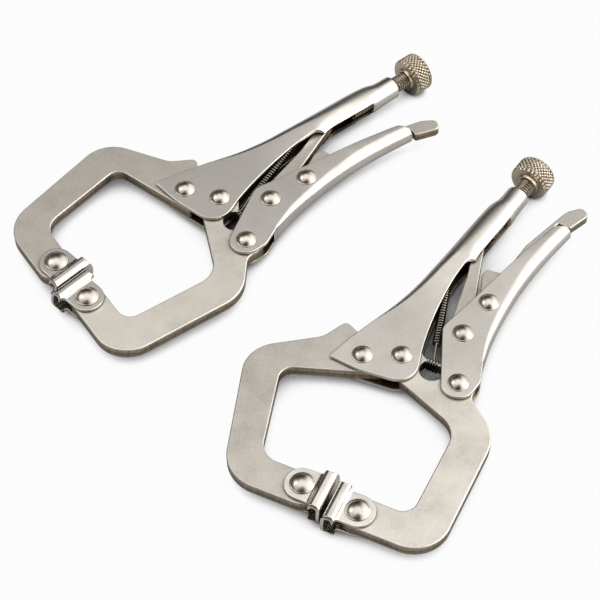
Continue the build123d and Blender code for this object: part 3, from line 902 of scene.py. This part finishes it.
class CLAMP_OT_knobs(bpy.types.Operator):
    """Knobs with their diamond knurl"""

    bl_idname = "clamp.knobs"
    bl_label = "Knurled knobs"

    def execute(self, context):
        sizes = context.scene.clamp_sizes
        finish = finishes()
        count = sizes.knurl_count
        radius = sizes.knob_radius
        rim = KNOB_RIM * MM
        high = KNOB_HEIGHT * MM
        span = 2 * math.pi * radius / count
        for clamp in CLAMPS:
            place, axis = joint_place(f"{clamp}_screw_turn")
            turn = UP.rotation_difference(axis).to_matrix().to_4x4()
            middle = place + axis * (KNOB_START * MM + high / 2)
            mesh = bmesh.new()
            bmesh.ops.create_cone(
                mesh, cap_ends=False, segments=count * KNURL_STEPS, radius1=radius,
                radius2=radius, depth=high - 2 * rim)
            bmesh.ops.subdivide_edges(
                mesh, edges=[e for e in mesh.edges
                             if abs(e.verts[0].co.z - e.verts[1].co.z) > rim],
                cuts=KNURL_ROWS, use_grid_fill=True)
            for vertex in mesh.verts:
                number = math.atan2(vertex.co.y, vertex.co.x) / (2 * math.pi) * count
                along = vertex.co.z / span
                left = abs((number + along) % 1.0 - 0.5) * 2
                right = abs((number - along) % 1.0 - 0.5) * 2
                cut = KNURL_DEPTH * MM * max(0.0, 1.0 - min(left, right) / GROOVE)
                vertex.co.xy *= 1 - cut / radius
            for side in (1, -1):
                loop = [e for e in mesh.edges if e.is_boundary and e.verts[0].co.z * side > 0]
                steps = [(radius - rim, rim), (KNOB_FLAT * MM, 0.0)]
                if side < 0:
                    steps.append((COLLAR[0] * MM, COLLAR[1] * MM))
                for out, rise in steps:
                    loop, ring = pulled(mesh, loop)
                    for vertex in ring:
                        vertex.co.xy = vertex.co.xy.normalized() * out
                        vertex.co.z += side * rise
                bmesh.ops.holes_fill(mesh, edges=loop, sides=0)
            bmesh.ops.recalc_face_normals(mesh, faces=mesh.faces)
            finish_piece(mesh, clamp, "knob_knurled", "screw",
                         [finish["knob"]], "knob", sharp=50,
                         place=Matrix.Translation(middle) @ turn)
        return {"FINISHED"}


# Where each spring hooks on: height on the jaw's bridge, and the jaw's turn from the handle
SPRING_HOOKS = {"front": (-11.3, 9.2), "rear": (-8.7, -4.7)}
# The bridge's middle and width, the hook on the handle's tab, and the stretch of the bridge
# that the last turns lie on
BRIDGE_X = 2.7
BRIDGE_WIDTH = 1.5
TAB_HOOK = (44.2, 7.4)
WRAPS = (-13.4, -8.8)
WRAP_COUNT = 4
# Straight wire ahead of the coils, what of it the last turns hide, and straight wire after them
LEAD = 9.3
LEAD_HIDDEN = 2.1
TRAIL = 4.5
WIRE_SIDES = 10
COIL_STEPS = 14


def wire_ring(mesh, middle, facing, radius):
    """A circle of wire, ready to be swept: its vertices and edges."""
    turn = UP.rotation_difference(facing).to_matrix().to_4x4()
    ring = bmesh.ops.create_circle(
        mesh, cap_ends=False, segments=WIRE_SIDES, radius=radius,
        matrix=Matrix.Translation(middle) @ turn)["verts"]
    return list(ring), list({e for v in ring for e in v.link_edges})


def straight_wire(mesh, start, end, radius):
    """A straight piece of wire with flat ends."""
    run = end - start
    turn = UP.rotation_difference(run).to_matrix().to_4x4()
    bmesh.ops.create_cone(
        mesh, cap_ends=True, segments=WIRE_SIDES, radius1=radius, radius2=radius,
        depth=run.length, matrix=Matrix.Translation((start + end) / 2) @ turn)


def wound_coils(start, end, wire, radius, turns):
    """A spring's coils, with a straight wire from each end of them to its hook."""
    mesh = bmesh.new()
    way = (end - start).normalized()
    first = start + way * LEAD
    last = end - way * TRAIL
    ring, edges = wire_ring(mesh, first + UP * radius, way.cross(UP), wire)
    steps = turns * COIL_STEPS
    swept(mesh, ring + edges, first, way, 2 * math.pi * turns, steps,
          along=(last - first) / steps)
    closed(mesh)
    straight_wire(mesh, start + way * LEAD_HIDDEN, first + UP * radius, wire)
    straight_wire(mesh, last + UP * radius, end, wire)
    bmesh.ops.recalc_face_normals(mesh, faces=mesh.faces)
    return mesh


def bridge_wraps(wire):
    """The last turns, each a closed loop of wire that lies round the jaw's bridge."""
    mesh = bmesh.new()
    out = BRIDGE_WIDTH / 2 + wire
    high = JAW_HALF / MM + wire - out
    rise = (WRAPS[1] - WRAPS[0]) / WRAP_COUNT
    for number in range(WRAP_COUNT):
        y = WRAPS[0] + rise * (number + 0.5)
        _, loop = wire_ring(mesh, Vector((BRIDGE_X + out, y, high)), UP, wire)
        # Half a turn over the plate, straight down past it, and the same below
        for side in (1, -1):
            ring = list({v for e in loop for v in e.verts})
            last = swept(mesh, loop + ring, Vector((BRIDGE_X, y, side * high)),
                         Vector((0, -1, 0)), math.pi, 10)
            loop = [g for g in last if isinstance(g, bmesh.types.BMEdge)]
            loop, ring = pulled(mesh, loop)
            bmesh.ops.translate(mesh, vec=(0, 0, -side * 2 * high), verts=ring)
    bmesh.ops.remove_doubles(mesh, verts=mesh.verts, dist=0.01)
    bmesh.ops.recalc_face_normals(mesh, faces=mesh.faces)
    return mesh


class CLAMP_OT_springs(bpy.types.Operator):
    """Tension springs wound from wire, with their last turns round the jaw's bridge"""

    bl_idname = "clamp.springs"
    bl_label = "Springs"

    def execute(self, context):
        sizes = context.scene.clamp_sizes
        finish = finishes()
        wire = sizes.wire_radius / MM
        radius = sizes.coil_radius / MM - wire
        for clamp in CLAMPS:
            hook_y, jaw_turn = SPRING_HOOKS[clamp]
            turn = Matrix.Rotation(math.radians(jaw_turn), 4, "Z")
            start = turn @ Vector((BRIDGE_X, hook_y, 0))
            end = Vector((*TAB_HOOK, 0))
            place = own_place(clamp, "lever_jaw_hinge")
            mesh = wound_coils(start, end, wire, radius, sizes.coil_turns)
            piece = finish_piece(mesh, clamp, "spring_coil", "frame",
                                 [finish["wire"]], "spring", sharp=60, place=place)
            # A piece that stretches hangs on no single body
            piece.parent = None
            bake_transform(piece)
            finish_piece(bridge_wraps(wire), clamp, "spring_wraps", "lever_arm",
                         [finish["wire"]], "spring_turns", sharp=60, place=place @ turn)
        return {"FINISHED"}


def softbox(name, place, width, height, power):
    """A rectangular softbox that faces the middle of the clamps."""
    lamp = bpy.data.lights.new(name, "AREA")
    lamp.shape = "RECTANGLE"
    lamp.size = width
    lamp.size_y = height
    lamp.energy = power
    holder = bpy.data.objects.new(name, lamp)
    holder.location = place
    holder.rotation_euler = (-Vector(place)).to_track_quat("-Z", "Y").to_euler()
    bpy.context.scene.collection.objects.link(holder)


# Sides of the tent: the colour, and the directions between which it fades in, from none to full
TENT_SIDES = (
    # White at the right
    ("#FFFFFF", (("X", 0.20, 0.60), ("Z", -0.20, 0.10))),
    # Light grey at the left, higher up
    ("#DADADA", (("X", -0.40, -0.70), ("Z", 0.35, 0.60))),
    # Dark shape of the camera and its stand on the near side
    ("#2E1D14", (("Y", -0.18, -0.36), ("Z", 0.98, 0.90), ("X", -0.34, -0.16), ("X", 0.34, 0.16))),
)
# Half the floor's width, and how far from the clamps their painted contact shadow reaches
FLOOR_HALF = 3.0
SHADOW_REACH = 16 * MM
# Point at the middle of the picture
PICTURE_MIDDLE = Vector((-1.41, -8.19, 10.2)) * MM


class CLAMP_OT_stage(bpy.types.Operator):
    """Floor, lamps, surroundings and camera"""

    bl_idname = "clamp.stage"
    bl_label = "Studio"

    def surroundings(self, context):
        """White tent: white overhead and at the right, grey at the left, dark low down."""
        world = bpy.data.worlds.new("White tent")
        context.scene.world = world
        world.use_nodes = True
        tree = world.node_tree
        tree.nodes.clear()
        output = put(tree, "ShaderNodeOutputWorld")
        rays = put(tree, "ShaderNodeLightPath")
        way = put(tree, "ShaderNodeSeparateXYZ", {
            "Vector": put(tree, "ShaderNodeTexCoord").outputs["Generated"]})
        colour = put(tree, "ShaderNodeValToRGB", {"Fac": way.outputs["Z"]}, stops=[
            (0.00, grey(0.01)), (0.40, grey(0.01)), (0.62, grey(0.03)), (0.74, grey(0.10)),
            (0.81, grey(0.46)), (0.87, grey(1.0)), (1.00, grey(1.0))]).outputs["Color"]
        for tone, edges in TENT_SIDES:
            share = 1.0
            for axis, none, full in edges:
                share = put(tree, "ShaderNodeMapRange", {
                    "Value": way.outputs[axis], "From Min": none, "From Max": full,
                    "To Max": share}, interpolation_type="SMOOTHSTEP").outputs["Result"]
            colour = put(tree, "ShaderNodeMix", {0: share, 6: colour, 7: hex_colour(tone)},
                         data_type="RGBA").outputs[2]
        # The eye sees plain white, which is 0.625 at this strength
        seen = put(tree, "ShaderNodeMix", {
            0: rays.outputs["Is Camera Ray"], 6: colour, 7: grey(0.625)}, data_type="RGBA")
        tent = put(tree, "ShaderNodeBackground", {"Color": seen.outputs[2], "Strength": 1.6})
        tree.links.new(tent.outputs["Background"], output.inputs["Surface"])

    def execute(self, context):
        studio = context.scene.clamp_studio
        mesh = bmesh.new()
        bmesh.ops.create_grid(mesh, x_segments=1, y_segments=1, size=FLOOR_HALF)
        data = bpy.data.meshes.new("floor")
        mesh.to_mesh(data)
        mesh.free()
        floor = bpy.data.objects.new("floor", data)
        context.scene.collection.objects.link(floor)
        # White paper sweep: it stays white to the eye, with a soft shadow that is partly real and
        # partly painted by ambient occlusion
        paper, output = fresh("White paper sweep")
        tree = paper.node_tree
        rays = put(tree, "ShaderNodeLightPath")
        open_air = put(
            tree, "ShaderNodeAmbientOcclusion", {"Distance": SHADOW_REACH}, samples=16)
        mirrored = put(tree, "ShaderNodeMath", {
            0: rays.outputs["Is Glossy Ray"], 1: rays.outputs["Is Transmission Ray"]},
            operation="MAXIMUM")
        # The glow that the eye sees, and the weaker one that the metal mirrors; both fade by
        # ambient occlusion where the clamps shut out the open air, a painted shadow on the floor
        # and in its reflections
        seen = put(tree, "ShaderNodeMapRange", {
            "Value": open_air.outputs["AO"], "From Min": 0.22, "From Max": 0.55,
            "To Min": 0.0, "To Max": 0.96})
        reflected = put(tree, "ShaderNodeMapRange", {
            "Value": open_air.outputs["AO"], "From Min": 0.45, "From Max": 1.0,
            "To Min": 0.0, "To Max": 0.22})
        direct = put(tree, "ShaderNodeMath", {
            0: rays.outputs["Is Camera Ray"], 1: seen.outputs["Result"]}, operation="MULTIPLY")
        share = put(tree, "ShaderNodeMath", {
            0: mirrored.outputs["Value"], 1: reflected.outputs["Result"],
            2: direct.outputs["Value"]}, operation="MULTIPLY_ADD")
        # The floor's colour darkens by ambient occlusion near the clamps: painted shade on top of
        # the real shadow
        shaded = put(tree, "ShaderNodeValToRGB", {"Fac": open_air.outputs["AO"]}, stops=[
            (0.20, grey(0.01)), (0.60, hex_colour(studio.floor))])
        matt = put(tree, "ShaderNodeBsdfDiffuse", {"Color": shaded.outputs["Color"]})
        glow = put(tree, "ShaderNodeEmission", {"Color": (1, 1, 1, 1), "Strength": 1.0})
        mixed = put(tree, "ShaderNodeMixShader", {
            0: share.outputs["Value"], 1: matt.outputs["BSDF"], 2: glow.outputs["Emission"]})
        tree.links.new(mixed.outputs["Shader"], output.inputs["Surface"])
        data.materials.append(paper)

        self.surroundings(context)
        softbox("left softbox", (-0.60, 0.16, 0.62), 0.34, 0.34, studio.left_power)
        softbox("right softbox", (0.74, -0.04, 0.34), 0.60, 0.50, studio.right_power)

        camera = bpy.data.cameras.new("camera")
        camera.sensor_width = 36.0
        camera.angle = studio.view_angle
        camera.clip_start = 0.01
        holder = bpy.data.objects.new("camera", camera)
        tilt = Matrix.Rotation(studio.tilt, 4, "X")
        holder.matrix_world = (
            Matrix.Translation(PICTURE_MIDDLE + tilt @ Vector((0, 0, studio.distance)))
            @ tilt @ Matrix.Rotation(studio.roll, 4, "Z"))
        context.scene.collection.objects.link(holder)
        context.scene.camera = holder
        context.scene.view_settings.view_transform = "Standard"
        return {"FINISHED"}


STEPS = (
    CLAMP_OT_plates, CLAMP_OT_sheets, CLAMP_OT_rivets, CLAMP_OT_pads, CLAMP_OT_screws,
    CLAMP_OT_knobs, CLAMP_OT_springs, CLAMP_OT_stage,
)


class CLAMP_PT_panel(bpy.types.Panel):
    """Buttons for the clamps' pieces and their studio"""

    bl_idname = "CLAMP_PT_panel"
    bl_label = "Locking C-clamps"
    bl_space_type = "VIEW_3D"
    bl_region_type = "UI"
    bl_category = "Clamps"

    def draw(self, context):
        for step in STEPS:
            self.layout.operator(step.bl_idname)
        for group in (context.scene.clamp_sizes, context.scene.clamp_finishes,
                      context.scene.clamp_studio):
            for name in group.bl_rna.properties.keys():
                if name not in ("rna_type", "name"):
                    self.layout.prop(group, name)


GROUPS = (
    ("clamp_sizes", ClampSizes),
    ("clamp_finishes", ClampFinishes),
    ("clamp_studio", StudioSettings),
)


def register():
    for name, group in GROUPS:
        bpy.utils.register_class(group)
        setattr(bpy.types.Scene, name, bpy.props.PointerProperty(type=group))
    for step in STEPS + (CLAMP_PT_panel,):
        bpy.utils.register_class(step)


def unregister():
    for step in reversed(STEPS + (CLAMP_PT_panel,)):
        bpy.utils.unregister_class(step)
    for name, group in reversed(GROUPS):
        delattr(bpy.types.Scene, name)
        bpy.utils.unregister_class(group)


def main():
    register()
    for step in STEPS:
        operator = getattr(bpy.ops.clamp, step.bl_idname.split(".")[1])
        if operator() != {"FINISHED"}:
            raise RuntimeError(f"{step.bl_label} did not finish")


if __name__ == "__main__":
    main()
